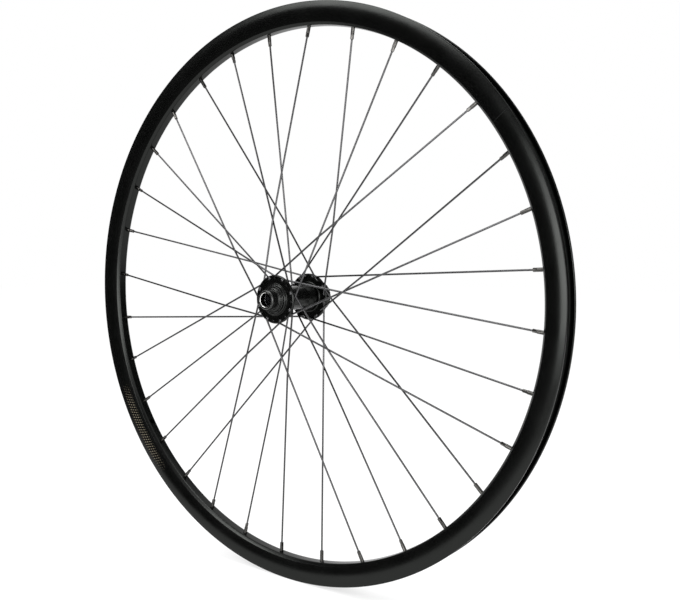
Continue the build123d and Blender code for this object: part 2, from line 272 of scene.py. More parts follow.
# Plain stock finishes: drawn and blackened wire, nickel plate, ground steel, nylon and rubber.
# Each has a soft mottle in colour and roughness and a faint bump at its own grain size.
stockFinishes = {
    "blackOxideWire": {
        "colours": ("#464647", "#565657"), "metallic": 1.0, "roughness": (0.2, 0.32),
        "grain": 1.6 * mm, "height": 0.004 * mm,
    },
    "darkNickelPlate": {
        "colours": ("#444341", "#535250"), "metallic": 1.0, "roughness": (0.16, 0.26),
        "grain": 1.2 * mm, "height": 0.004 * mm,
    },
    "groundBearingSteel": {
        "colours": ("#b4b5b8", "#c6c7ca"), "metallic": 1.0, "roughness": (0.12, 0.22),
        "grain": 0.8 * mm, "height": 0.002 * mm,
    },
    "mouldedNylon": {
        "colours": ("#cfc7b0", "#d9d2be"), "metallic": 0.0, "roughness": (0.42, 0.55),
        "grain": 0.9 * mm, "height": 0.006 * mm,
    },
    "mouldedRubber": {
        "colours": ("#161616", "#1f1f20"), "metallic": 0.0, "roughness": (0.55, 0.72),
        "grain": 0.6 * mm, "height": 0.01 * mm,
    },
}


def stockMaterial(name, finish):
    material, tree, shader, place = newMaterial(name)
    smooth, dull = finish["roughness"]
    dark, pale = finish["colours"]
    grain = addNode(
        tree, "ShaderNodeTexNoise", {"Vector": place}, {"Scale": 1 / finish["grain"], "Detail": 3.0},
    )
    colour = addNode(
        tree, "ShaderNodeMix", {"Factor": grain.outputs[0]}, {6: linear(dark), 7: linear(pale)},
        data_type="RGBA",
    )
    rough = addNode(
        tree, "ShaderNodeMapRange", {"Value": grain.outputs[0]},
        {**noiseSpan, "To Min": smooth, "To Max": dull},
    )
    bump = addNode(
        tree, "ShaderNodeBump", {"Height": grain.outputs[0]},
        {"Strength": 1.0, "Distance": finish["height"]},
    )
    shader.inputs["Metallic"].default_value = finish["metallic"]
    tree.links.new(colour.outputs[2], shader.inputs["Base Color"])
    tree.links.new(rough.outputs[0], shader.inputs["Roughness"])
    tree.links.new(bump.outputs[0], shader.inputs["Normal"])
    return material


materials = {"satinBlackRim": rimMaterial("satinBlackRim", rimFinish)}
for finishName, finish in turnedFinishes.items():
    materials[finishName] = turnedMaterial(finishName, finish)
for finishName, finish in stockFinishes.items():
    materials[finishName] = stockMaterial(finishName, finish)
print("materials made:", len(materials))

straightSlack = 0.01  # radians: a corner that is this close to straight gets no arc


def roundedOutline(corners, arcStep=9):  # corners are ((radius, y), rounding) in mm, arcStep is in degrees
    points = []
    for i, (corner, rounding) in enumerate(corners):
        here = Vector(corner)
        before = (Vector(corners[i - 1][0]) - here).normalized()
        after = (Vector(corners[(i + 1) % len(corners)][0]) - here).normalized()
        half = before.angle(after) / 2
        if rounding == 0 or half > math.pi / 2 - straightSlack:
            points.append(here)
            continue
        centre = here + (before + after).normalized() * rounding / math.sin(half)
        start = here + before * rounding / math.tan(half) - centre
        turn = math.pi - 2 * half
        if before.x * after.y - before.y * after.x > 0:
            turn = -turn
        steps = max(2, math.ceil(abs(turn) / math.radians(arcStep)))
        for k in range(steps + 1):
            points.append(centre + Matrix.Rotation(turn * k / steps, 2) @ start)
    area = sum(points[i - 1].x * p.y - points[i - 1].y * p.x for i, p in enumerate(points))
    return points if area > 0 else points[::-1]


def bothSides(half):  # the corners of an outline's left half, and then their mirror image
    return half + [((r, -y), rounding) for (r, y), rounding in reversed(half)]


def evenAngles(count):
    return [2 * math.pi * k / count for k in range(count)]


def addTurned(mesh, outline, angles, cavity=False):  # one closed ring about the axle
    rings = []
    for a in angles:
        ring = [mesh.verts.new((p.x * math.cos(a) * mm, p.y * mm, p.x * math.sin(a) * mm)) for p in outline]
        rings.append(ring)
    for j, ring in enumerate(rings):
        nextRing = rings[(j + 1) % len(rings)]
        for i in range(len(ring)):
            n = (i + 1) % len(ring)
            corners = [ring[i], ring[n], nextRing[n], nextRing[i]]
            mesh.faces.new(corners[::-1] if cavity else corners)
    return rings


def addCylinder(mesh, start, end, radius, sides):  # start and end are points in mm
    axis = end - start
    turn = axis.to_track_quat("Z", "Y").to_matrix()
    rings = []
    for point in (start, end):
        rings.append([
            mesh.verts.new((point + turn @ Vector((radius * math.cos(a), radius * math.sin(a), 0))) * mm)
            for a in evenAngles(sides)
        ])
    for i in range(sides):
        n = (i + 1) % sides
        mesh.faces.new([rings[0][i], rings[0][n], rings[1][n], rings[1][i]])
    mesh.faces.new(rings[0][::-1])
    mesh.faces.new(rings[1])


def addDrill(mesh, profile, x, z, sides):  # a closed turned plug along Y, with (radius, y) rows in mm
    ends = []
    rings = []
    for radius, y in profile:
        if radius == 0:
            ends.append(mesh.verts.new((x * mm, y * mm, z * mm)))
            continue
        rings.append([
            mesh.verts.new(((x + radius * math.cos(a)) * mm, y * mm, (z + radius * math.sin(a)) * mm))
            for a in evenAngles(sides)
        ])
    for i in range(sides):
        n = (i + 1) % sides
        mesh.faces.new([ends[0], rings[0][i], rings[0][n]])
        mesh.faces.new([ends[1], rings[-1][n], rings[-1][i]])
        for lower, upper in zip(rings, rings[1:]):
            mesh.faces.new([lower[i], upper[i], upper[n], lower[n]])


def newObject(name, build):  # a new object from a bmesh
    data = bpy.data.meshes.new(name)
    build.to_mesh(data)
    build.free()
    made = bpy.data.objects.new(name, data)
    bpy.context.scene.collection.objects.link(made)
    return made


def applyModifiers(made):  # the evaluated result becomes the object's plain mesh
    graph = bpy.context.evaluated_depsgraph_get()
    data = bpy.data.meshes.new_from_object(made.evaluated_get(graph), depsgraph=graph)
    made.modifiers.clear()
    made.data = data


def carve(made, cutter):
    modifier = made.modifiers.new("carve", "BOOLEAN")
    modifier.object = cutter
    modifier.operation = "DIFFERENCE"
    modifier.solver = "MANIFOLD"
    applyModifiers(made)
    bpy.data.objects.remove(cutter)


def newTree(name, inputs):  # a Geometry Nodes tree, with its named inputs after the geometry
    tree = bpy.data.node_groups.new(name, "GeometryNodeTree")
    tree.interface.new_socket("Geometry", in_out="INPUT", socket_type="NodeSocketGeometry")
    identifiers = {}
    for label, kind in inputs.items():
        identifiers[label] = tree.interface.new_socket(label, in_out="INPUT", socket_type=kind).identifier
    tree.interface.new_socket("Geometry", in_out="OUTPUT", socket_type="NodeSocketGeometry")
    return tree, identifiers, addNode(tree, "NodeGroupInput").outputs


def closeTree(tree, copies, finish):  # the copies become real mesh and take their finish
    real = addNode(tree, "GeometryNodeRealizeInstances", {0: copies.outputs[0]})
    finished = addNode(
        tree, "GeometryNodeSetMaterial", {"Geometry": real.outputs[0], "Material": finish},
    )
    addNode(tree, "NodeGroupOutput", {0: finished.outputs[0]})


def runTree(made, tree, identifiers, inputs):
    modifier = made.modifiers.new(tree.name, "NODES")
    modifier.node_group = tree
    for label, value in inputs.items():
        modifier[identifiers[label]] = value
    applyModifiers(made)


def finishPiece(made, material, body, replaced, smoothAngle):
    made.data.materials.clear()
    made.data.materials.append(materials[material])
    made.data.shade_smooth()
    made.data.set_sharp_from_angle(angle=math.radians(smoothAngle))
    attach(made, body)
    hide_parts(*replaced)
    print("made", made.name, "with", sum(len(p.vertices) - 2 for p in made.data.polygons), "triangles")


# Lacing: every spoke's place, worked out from the hub's and the rim's hole circles, in mm and degrees
lacing = {
    "spokes": 32,
    "crossings": 3,
    "firstAngle": 40.83,
    "hubHoleRadius": 23.5,
    "flanges": {"right": -33.5, "left": 24.5},
    "flangeThickness": 3.2,
    "pivotRadius": 297.326,
    "wireRadius": 1.0,
    "headGap": 0.05,
    "elbowStandoff": 2.0,
    "elbowRadius": 2.5,
    "crossingGap": 0.1,
    "crossingBend": 60.0,
}
holesPerFlange = lacing["spokes"] // 2
holePitch = 360 / holesPerFlange
lacingTurn = lacing["crossings"] * holePitch


def direction(degrees):
    return Vector((math.cos(math.radians(degrees)), 0, math.sin(math.radians(degrees))))


def spokeRoute(side, k):  # head, elbow corner, crossing corner and nipple pivot
    flangeY = lacing["flanges"][side]
    lead = 1 if k % 2 == 0 else -1
    hubAngle = lacing["firstAngle"] + (k + (0.5 if side == "left" else 0)) * holePitch
    hubPoint = direction(hubAngle) * lacing["hubHoleRadius"]
    rimPoint = direction(hubAngle + lead * lacingTurn) * lacing["pivotRadius"]
    halfCross = math.radians((2 * lacing["crossings"] - 1) * holePitch / 2)
    hubShare = lacing["hubHoleRadius"] * math.sin(halfCross)
    rimShare = lacing["pivotRadius"] * math.sin(math.radians(lacingTurn) - halfCross)
    crossing = hubShare / (hubShare + rimShare)
    faceY = lacing["flangeThickness"] / 2
    headY = flangeY + lead * (faceY + lacing["headGap"])
    elbowY = flangeY - lead * (faceY + lacing["elbowStandoff"])
    crossingY = flangeY * (1 - crossing) + lead * (lacing["wireRadius"] + lacing["crossingGap"] / 2)
    head = hubPoint + Vector((0, headY, 0))
    elbow = hubPoint + Vector((0, elbowY, 0))
    crossingPoint = hubPoint.lerp(rimPoint, crossing) + Vector((0, crossingY, 0))
    return {"head": head, "elbow": elbow, "crossing": crossingPoint, "pivot": rimPoint, "lead": lead}


routes = [spokeRoute(side, k) for side in lacing["flanges"] for k in range(holesPerFlange)]

# Rim: hooked tyre channel over a closed chamber, with bowed sides and the hairline of its weld, in mm
rimSizes = {
    "seat": 311.0,
    "lip": 317.0,
    "bed": 293.2,
    "half": 12.0,
    "lipHalf": 11.0,
    "bedHalf": 4.6,
    "bevel": 295.9,
    "bevelHalf": 7.3,
    "shoulder": 305.2,
    "innerHalf": 8.5,
    "hook": 2.2,
    "channelHalf": 9.5,
    "wellHalf": 4.2,
    "wellDepth": 4.0,
    "wellLean": 4 / 3,
    "bedWall": 1.8,
    "sideWall": 1.25,
    "tyreBedWall": 1.2,
    "crease": 2.5,
    "bevelRound": 2.5,
    "bow": 35.0,
    "lipRound": 1.0,
    "innerRound": 0.5,
    "arcStep": 6,
    "stations": 384,
    "chamberStations": 192,
    "weldAngle": 35.2,
    "weldHalf": 0.22,
    "weldDepth": 0.16,
    "weldRoom": 3,  # half widths of the weld that stay clear of other stations
    "nippleHole": 2.3,
    "nippleHoleDepth": 5.53,
    "accessHole": 3.5,
    "accessDepth": 6.4,
    "valveAngle": 215.205,
    "valveHole": 3.25,
    "valveHoleEnd": 290.2,
    "holeSides": 24,
    "smoothAngle": 32,
}


def makeRim(s):
    half = [
        ((s["bed"], s["bedHalf"]), s["crease"]),
        ((s["bevel"], s["bevelHalf"]), s["bevelRound"]),
        ((s["shoulder"], s["half"]), s["bow"]),
        ((s["lip"], s["lipHalf"]), s["lipRound"]),
        ((s["lip"], s["innerHalf"]), s["lipRound"]),
        ((s["lip"] - s["hook"], s["innerHalf"]), s["innerRound"]),
        ((s["seat"] + s["hook"], s["channelHalf"]), s["innerRound"]),
        ((s["seat"], s["channelHalf"]), s["innerRound"]),
        ((s["seat"], s["wellHalf"] + s["wellLean"]), s["innerRound"]),
        ((s["seat"] - s["wellDepth"], s["wellHalf"]), s["innerRound"]),
    ]
    top = s["seat"] - s["tyreBedWall"]
    innerSlope = math.atan2(s["half"] - s["bevelHalf"], s["shoulder"] - s["bevel"])
    outerSlope = math.atan2(s["half"] - s["lipHalf"], s["lip"] - s["shoulder"])
    bowDrop = s["bow"] * (1 / math.cos((innerSlope + outerSlope) / 2) - 1)
    chamberHalf = [
        ((s["bed"] + s["bedWall"], s["bedHalf"] - s["sideWall"] / 2), 0),
        ((s["bevel"] + s["sideWall"] / 2, s["bevelHalf"] - s["sideWall"]), 0),
        ((s["shoulder"], s["half"] - bowDrop - s["sideWall"]), 0),
        ((top, s["lipHalf"] - s["sideWall"]), 0),
        ((top, s["wellHalf"] + s["wellLean"] + s["tyreBedWall"]), 0),
        ((top - s["wellDepth"], s["wellHalf"] + s["tyreBedWall"] / 2), 0),
    ]
    outer = roundedOutline(bothSides(half), s["arcStep"])
    chamber = roundedOutline(bothSides(chamberHalf))
    weld = math.radians(s["weldAngle"])
    weldStep = s["weldHalf"] / s["lip"]
    angles = [a for a in evenAngles(s["stations"]) if abs(a - weld) > s["weldRoom"] * weldStep]
    angles = sorted(angles + [weld - weldStep, weld, weld + weldStep])
    build = bmesh.new()
    rings = addTurned(build, outer, angles)
    addTurned(build, chamber, evenAngles(s["chamberStations"]), cavity=True)
    build.normal_update()
    weldRing = rings[angles.index(weld)]
    inward = [v.normal * s["weldDepth"] * mm for v in weldRing]
    for v, shift in zip(weldRing, inward):
        v.co -= shift
    made = newObject("wheelRim", build)
    holes = bmesh.new()
    for route in routes:
        pivot = route["pivot"]
        foot = pivot - (pivot - route["crossing"]).normalized() * s["nippleHoleDepth"]
        addCylinder(holes, pivot, foot, s["nippleHole"], s["holeSides"])
    firstHole = lacing["firstAngle"] - lacingTurn
    for k in range(lacing["spokes"]):
        way = direction(firstHole + k * 360 / lacing["spokes"])
        foot = way * (s["seat"] - s["accessDepth"])
        addCylinder(holes, way * s["seat"], foot, s["accessHole"], s["holeSides"])
    valve = direction(s["valveAngle"])
    addCylinder(holes, valve * s["seat"], valve * s["valveHoleEnd"], s["valveHole"], s["holeSides"])
    carve(made, newObject("rimHoles", holes))
    return made


rim = makeRim(rimSizes)
finishPiece(rim, "satinBlackRim", "wheel", ["rim"], rimSizes["smoothAngle"])

# Spokes: drawn wire with a domed head, an elbow at the flange and a slight bend where it meets its neighbour
wireSizes = {
    "sides": 20,
    "elbowSteps": 10,
    "crossingSteps": 8,
    "head": [  # height over the flange in mm, and radius as a share of the wire's
        (1.2, 0.0), (1.2, 0.55), (1.1, 0.95), (0.85, 1.3),
        (0.45, 1.72), (0.0, 1.9), (-0.25, 1.75), (-0.7, 1.0),
    ],
    "tip": 0.02,  # the smallest share
    "smoothAngle": 40,
}


def bendPoints(before, corner, after, radius, steps):
    toBefore = (before - corner).normalized()
    toAfter = (after - corner).normalized()
    half = toBefore.angle(toAfter) / 2
    centre = corner + (toBefore + toAfter).normalized() * radius / math.sin(half)
    start = corner + toBefore * radius / math.tan(half) - centre
    axis = start.cross(toAfter)
    turn = math.pi - 2 * half
    return [centre + Matrix.Rotation(turn * k / steps, 3, axis) @ start for k in range(steps + 1)]


def wireTree(sides):
    tree, identifiers, given = newTree("lacedWires", {
        "Wire Radius": "NodeSocketFloat", "Repeats": "NodeSocketInt", "Finish": "NodeSocketMaterial",
    })
    route = addNode(tree, "GeometryNodeMeshToCurve", {"Mesh": given["Geometry"]})
    section = addNode(
        tree, "GeometryNodeCurvePrimitiveCircle", {"Radius": given["Wire Radius"]}, {"Resolution": sides},
    )
    swell = addNode(tree, "GeometryNodeInputNamedAttribute", values={"Name": "swell"}, data_type="FLOAT")
    wire = addNode(
        tree, "GeometryNodeCurveToMesh",
        {"Curve": route.outputs[0], "Profile Curve": section.outputs[0], "Scale": swell.outputs[0]},
        {"Fill Caps": True},
    )
    stops = addNode(tree, "GeometryNodePoints", {"Count": given["Repeats"]})
    index = addNode(tree, "GeometryNodeInputIndex")
    share = addNode(
        tree, "ShaderNodeMath", {0: index.outputs[0], 1: given["Repeats"]}, operation="DIVIDE",
    )
    turn = addNode(tree, "ShaderNodeMath", {0: share.outputs[0]}, {1: 2 * math.pi}, operation="MULTIPLY")
    spin = addNode(tree, "ShaderNodeCombineXYZ", {"Y": turn.outputs[0]})
    copies = addNode(
        tree, "GeometryNodeInstanceOnPoints",
        {"Points": stops.outputs[0], "Instance": wire.outputs[0], "Rotation": spin.outputs[0]},
    )
    closeTree(tree, copies, given["Finish"])
    return tree, identifiers


def makeWires(s):
    build = bmesh.new()
    swell = build.verts.layers.float.new("swell")
    for flange in range(len(lacing["flanges"])):
        for k in range(2):  # one leading and one trailing spoke of each flange
            route = routes[flange * holesPerFlange + k]
            head, elbow, crossing, pivot = (route[key] for key in ("head", "elbow", "crossing", "pivot"))
            outward = Vector((0, route["lead"], 0))
            bends = bendPoints(head, elbow, crossing, lacing["elbowRadius"], s["elbowSteps"])
            bends += bendPoints(elbow, crossing, pivot, lacing["crossingBend"], s["crossingSteps"])
            line = [(head + outward * up, size) for up, size in s["head"]]
            line += [(point, 1.0) for point in bends + [pivot]]
            last = None
            for point, size in line:
                vertex = build.verts.new(point * mm)
                vertex[swell] = max(size, s["tip"])
                if last:
                    build.edges.new((last, vertex))
                last = vertex
    made = newObject("spokeWires", build)
    tree, identifiers = wireTree(s["sides"])
    runTree(made, tree, identifiers, {
        "Wire Radius": lacing["wireRadius"] * mm, "Repeats": holesPerFlange // 2,
        "Finish": materials["blackOxideWire"],
    })
    return made


wires = makeWires(wireSizes)
spokeNodes = [name for name in nodes if "_spoke_" in name]
finishPiece(wires, "blackOxideWire", "wheel", spokeNodes, wireSizes["smoothAngle"])

# Nipples: ball-seated head with a driver slot, round shank and square end, set at uneven turns, in mm
nippleSizes = {
    "sides": 48,
    "bore": 1.1,
    "shank": 2.0,
    "flats": 1.65,
    "length": 16.0,
    "flatsLength": 5.0,
    "head": 3.0,
    "crop": 1.6,
    "chamfer": 0.4,
    "headSteps": 8,
    "slotWidth": 1.1,
    "slotLength": 9.0,
    "slotDepth": 1.0,
    "seed": 7,
    "smoothAngle": 25,
}


def makeNippleShape(s):
    shankEnd = s["flatsLength"] - s["length"]
    unflattened = 3 * s["head"]  # past every radius, so that a row stays round
    rows = [  # height, radius and distance of the flats
        (-s["length"], s["bore"], unflattened),
        (-s["length"], s["shank"] - 2 * s["chamfer"], s["flats"] - s["chamfer"]),
        (-s["length"] + s["chamfer"], s["shank"], s["flats"]),
        (shankEnd - s["chamfer"], s["shank"], s["flats"]),
        (shankEnd, s["shank"], unflattened),
    ]
    low = math.asin(s["shank"] / s["head"]) - math.pi
    high = -math.acos(s["crop"] / s["head"])
    for k in range(s["headSteps"] + 1):
        a = low + (high - low) * k / s["headSteps"]
        rows.append((s["head"] * math.cos(a), -s["head"] * math.sin(a), unflattened))
    rows.append((s["crop"], s["bore"], unflattened))
    build = bmesh.new()
    rings = []
    for z, radius, flat in rows:
        ring = []
        for a in evenAngles(s["sides"]):
            r = min(radius, flat / max(abs(math.cos(a)), abs(math.sin(a))))
            ring.append(build.verts.new(Vector((r * math.cos(a), r * math.sin(a), z)) * mm))
        rings.append(ring)
    for j, ring in enumerate(rings):
        above = rings[(j + 1) % len(rings)]
        for i in range(s["sides"]):
            n = (i + 1) % s["sides"]
            build.faces.new([ring[i], ring[n], above[n], above[i]])
    shape = newObject("nippleShape", build)
    slot = bmesh.new()
    bmesh.ops.create_cube(slot, size=mm)
    bmesh.ops.scale(slot, vec=(s["slotWidth"], s["slotLength"], 2 * s["slotDepth"]), verts=slot.verts)
    bmesh.ops.translate(slot, vec=(0, 0, s["crop"] * mm), verts=slot.verts)
    carve(shape, newObject("driverSlot", slot))
    return shape


def nippleTree():
    tree, identifiers, given = newTree("nipplesOnRim", {
        "Nipple": "NodeSocketObject", "Seed": "NodeSocketInt", "Finish": "NodeSocketMaterial",
    })
    shape = addNode(tree, "GeometryNodeObjectInfo", {"Object": given["Nipple"]})
    pull = addNode(
        tree, "GeometryNodeInputNamedAttribute", values={"Name": "pull"}, data_type="FLOAT_VECTOR",
    )
    lean = addNode(tree, "FunctionNodeAlignRotationToVector", {"Vector": pull.outputs[0]}, axis="Z")
    roll = addNode(
        tree, "FunctionNodeRandomValue", {"Seed": given["Seed"]}, {2: 0.0, 3: math.pi}, data_type="FLOAT",
    )
    rollAxis = addNode(tree, "ShaderNodeCombineXYZ", {"Z": roll.outputs[1]})
    turned = addNode(
        tree, "FunctionNodeRotateRotation", {0: lean.outputs[0], 1: rollAxis.outputs[0]},
        rotation_space="LOCAL",
    )
    copies = addNode(
        tree, "GeometryNodeInstanceOnPoints",
        {"Points": given["Geometry"], "Instance": shape.outputs["Geometry"], "Rotation": turned.outputs[0]},
    )
    closeTree(tree, copies, given["Finish"])
    return tree, identifiers


def makeNipples(s):
    shape = makeNippleShape(s)
    build = bmesh.new()
    pull = build.verts.layers.float_vector.new("pull")
    for route in routes:
        vertex = build.verts.new(route["pivot"] * mm)
        vertex[pull] = (route["pivot"] - route["crossing"]).normalized()
    made = newObject("spokeNipples", build)
    tree, identifiers = nippleTree()
    runTree(made, tree, identifiers, {
        "Nipple": shape, "Seed": s["seed"], "Finish": materials["darkNickelPlate"],
    })
    bpy.data.objects.remove(shape)
    return made


nipples = makeNipples(nippleSizes)
finishPiece(
    nipples, "darkNickelPlate", "wheel", ["spoke_nipples"], nippleSizes["smoothAngle"],
)

# Hub shell: turned body with two drilled flanges and a fluted disc mount, in mm
hubSizes = {
    "sides": 160,
    "edge": 0.22,  # rounding of most turned corners
    "shellEnd": 37.5,
    "flange": 26.3,
    "bevel": 25.1,
    "bevelDrop": 0.8,
    "boss": 17.0,
    "bossRound": 1.8,
    "bossFillet": 0.9,
    "neck": 16.0,
    "neckLength": 5.0,
    "barrel": 13.2,
    "flare": 9.0,
    "flareRound": 8.0,
    "fillet": 3.0,
    "leftNeck": 17.5,
    "discSeat": 21.0,
    "discBack": 32.0,
    "discSeatAt": 34.5,
    "spline": 17.5,
    "splineEnd": 43.0,
    "flutes": 36,
    "flute": 0.8,
    "fluteFoot": 0.02,
    "flutePast": 1.0,
    "fluteSides": 16,
    "seatBore": 15.02,
    "bearingBack": 29.5,
    "raceShoulder": 13.2,
    "reliefEnd": 27.5,
    "barrelBore": 10.6,
    "hole": 1.3,
    "holeSink": 0.35,
    "drillPast": 0.4,
    "holeSides": 24,
    "smoothAngle": 28,
}


def makeHub(s):
    right, left = lacing["flanges"]["right"], lacing["flanges"]["left"]
    faceY = lacing["flangeThickness"] / 2
    e = s["edge"]
    rightOut, rightIn, leftIn, leftOut = right - faceY, right + faceY, left - faceY, left + faceY
    corners = [
        ((s["boss"], -s["shellEnd"]), s["bossRound"]),
        ((s["boss"], rightOut), s["bossFillet"]),
        ((s["bevel"], rightOut), e),
        ((s["flange"], rightOut + s["bevelDrop"]), e),
        ((s["flange"], rightIn - s["bevelDrop"]), e),
        ((s["bevel"], rightIn), e),
        ((s["neck"], rightIn), s["fillet"]),
        ((s["neck"], rightIn + s["neckLength"]), s["fillet"]),
        ((s["barrel"], rightIn + s["neckLength"] + s["flare"]), s["flareRound"]),
        ((s["barrel"], leftIn - s["neckLength"] - s["flare"]), s["flareRound"]),
        ((s["neck"], leftIn - s["neckLength"]), s["fillet"]),
        ((s["neck"], leftIn), s["fillet"] / 2),
        ((s["bevel"], leftIn), e),
        ((s["flange"], leftIn + s["bevelDrop"]), e),
        ((s["flange"], leftOut - s["bevelDrop"]), e),
        ((s["bevel"], leftOut), e),
        ((s["leftNeck"], leftOut), s["fillet"] / 2),
        ((s["leftNeck"], s["discBack"]), 0),
        ((s["discSeat"], s["discBack"]), 2 * e),
        ((s["discSeat"], s["discSeatAt"]), 2 * e),
        ((s["spline"], s["discSeatAt"]), 0),
        ((s["spline"], s["splineEnd"]), s["bossRound"] / 2),
        ((s["seatBore"], s["splineEnd"]), e),
        ((s["seatBore"], s["bearingBack"]), 0),
        ((s["raceShoulder"], s["bearingBack"]), e),
        ((s["raceShoulder"], s["reliefEnd"]), 0),
        ((s["barrelBore"], s["reliefEnd"]), e),
        ((s["barrelBore"], -s["reliefEnd"]), e),
        ((s["raceShoulder"], -s["reliefEnd"]), 0),
        ((s["raceShoulder"], -s["bearingBack"]), e),
        ((s["seatBore"], -s["bearingBack"]), 0),
        ((s["seatBore"], -s["shellEnd"]), e),
    ]
    build = bmesh.new()
    addTurned(build, roundedOutline(corners), evenAngles(s["sides"]))
    made = newObject("hubBody", build)
    holes = bmesh.new()
    past = faceY + s["drillPast"]
    straight = faceY - s["holeSink"]
    wide = s["hole"] + s["holeSink"] + s["drillPast"]
    rows = [
        (0.0, -past), (wide, -past), (s["hole"], -straight),
        (s["hole"], straight), (wide, past), (0.0, past),
    ]
    for route in routes:
        head = route["head"]
        flangeY = right if head.y < 0 else left
        profile = [(radius, flangeY + y) for radius, y in rows]
        addDrill(holes, profile, head.x, head.z, s["holeSides"])
    carve(made, newObject("hubHoles", holes))
    flutes = bmesh.new()
    for k in range(s["flutes"]):
        out = direction(k * 360 / s["flutes"]) * s["spline"]
        foot = out + Vector((0, s["discSeatAt"] + s["fluteFoot"], 0))
        end = out + Vector((0, s["splineEnd"] + s["flutePast"], 0))
        addCylinder(flutes, foot, end, s["flute"], s["fluteSides"])
    carve(made, newObject("splineFlutes", flutes))
    return made


hub = makeHub(hubSizes)
finishPiece(hub, "turnedBlackHub", "wheel", ["hub_shell"], hubSizes["smoothAngle"])

# Axle sleeve and end caps: plain turned tubes, with their outer corners broken, in mm
axleSizes = {
    "sides": 144,
    "edge": 0.2,
    "bore": 7.55,
    "sleeve": 8.48,
    "sleeveEnd": 41.9,
    "shoulder": 29.5,
    "shoulderStep": 1.0,
    "axleEnd": 50.0,
    "cap": 10.5,
    "capRound": 0.6,
    "faceRound": 1.6,
    "boreChamfer": 0.8,
    "shieldRound": 0.3,
    "socket": 8.51,
    "socketEnd": 42.0,
    "bearingFace": 36.5,
    "shieldInner": 37.0,
    "shieldOuter": 38.4,
    "collar": 12.4,
    "collarEnd": 40.4,
    "shield": 14.62,
    "land": 10.08,
    "groove": 9.44,
    "grooveLow": 38.6,
    "grooveHigh": 40.0,
    "smoothAngle": 28,
}


def makeSleeve(s):
    e = s["edge"]
    raised = s["sleeve"] + s["shoulderStep"]
    half = [
        ((s["bore"], s["sleeveEnd"]), e),
        ((s["sleeve"], s["sleeveEnd"]), e),
        ((s["sleeve"], s["shoulder"]), 0),
        ((raised, s["shoulder"]), e),
    ]
    build = bmesh.new()
    addTurned(build, roundedOutline(bothSides(half)), evenAngles(s["sides"]))
    return newObject("axleTube", build)


def makeCap(name, facing, s):
    corners = [
        ((s["bore"], s["axleEnd"] - s["boreChamfer"]), 0),
        ((s["bore"] + s["boreChamfer"], s["axleEnd"]), 0),
        ((s["cap"], s["axleEnd"]), s["faceRound"]),
        ((s["cap"], s["collarEnd"]), s["capRound"] / 2),
        ((s["collar"], s["collarEnd"]), s["capRound"]),
        ((s["collar"], s["shieldOuter"]), s["capRound"] / 2),
        ((s["shield"], s["shieldOuter"]), s["shieldRound"]),
        ((s["shield"], s["shieldInner"]), s["edge"]),
        ((s["land"], s["shieldInner"]), 0),
        ((s["land"], s["bearingFace"]), s["edge"]),
        ((s["socket"], s["bearingFace"]), s["edge"]),
        ((s["socket"], s["grooveLow"]), 0),
        ((s["groove"], s["grooveLow"]), 0),
        ((s["groove"], s["grooveHigh"]), 0),
        ((s["socket"], s["grooveHigh"]), 0),
        ((s["socket"], s["socketEnd"]), 0),
        ((s["bore"], s["socketEnd"]), 0),
    ]
    build = bmesh.new()
    outline = roundedOutline([((r, facing * y), rounding) for (r, y), rounding in corners])
    addTurned(build, outline, evenAngles(s["sides"]))
    return newObject(name, build)


sleeve = makeSleeve(axleSizes)
finishPiece(sleeve, "turnedClearSleeve", "axle", ["axle_sleeve"], axleSizes["smoothAngle"])
for side, facing in (("right", -1), ("left", 1)):
    cap = makeCap(side + "EndCap", facing, axleSizes)
    replaced = [side + "_end_cap"]
    finishPiece(cap, "turnedBlackCap", "axle", replaced, axleSizes["smoothAngle"])

# Bearings and cap rings keep their solids, with a finish for each stock
stockOfNode = {
    "inner_race": "groundBearingSteel",
    "outer_race": "groundBearingSteel",
    "balls": "groundBearingSteel",
    "cage": "mouldedNylon",
    "seals": "mouldedRubber",
    "cap_ring": "mouldedRubber",
}
for name, node in nodes.items():
    for ending, stock in stockOfNode.items():
        if name.endswith(ending):
            node.data.materials.clear()
            node.data.materials.append(materials[stock])
print("bearings finished")

# Stage, in metres: pale floor under the wheel, white all round, and dark cloth that only shows in
# reflections, as two standing screens and a strip on the floor
stageSizes = {
    "floorHalf": 6.0,
    "floorColour": "#fafafa",
    "shadowShare": 0.36,  # how much of the floor's own light and shadow is seen
    "ambient": 1.05,  # strength of the white as light: it is seen and mirrored at 1
    "clothColour": "#545454",
    "screenSweeps": ((30, -100), (100, 190)),  # degrees from straight before the right side, towards +X
    "floorSweep": (8, -100),
    "clothLift": 1 * mm,
    "floorInner": 0.75,
    "screenRadius": 2.1,
    "screenTop": 2.2,
    "columns": 40,
}


def backgroundRays(tree):  # 1 where the eye, a reflection or clear matter looks at the background
    path = addNode(tree, "ShaderNodeLightPath").outputs
    either = addNode(
        tree, "ShaderNodeMath", {0: path["Is Camera Ray"], 1: path["Is Glossy Ray"]}, operation="MAXIMUM",
    )
    return addNode(
        tree, "ShaderNodeMath", {0: either.outputs[0], 1: path["Is Transmission Ray"]}, operation="MAXIMUM",
    ).outputs[0]


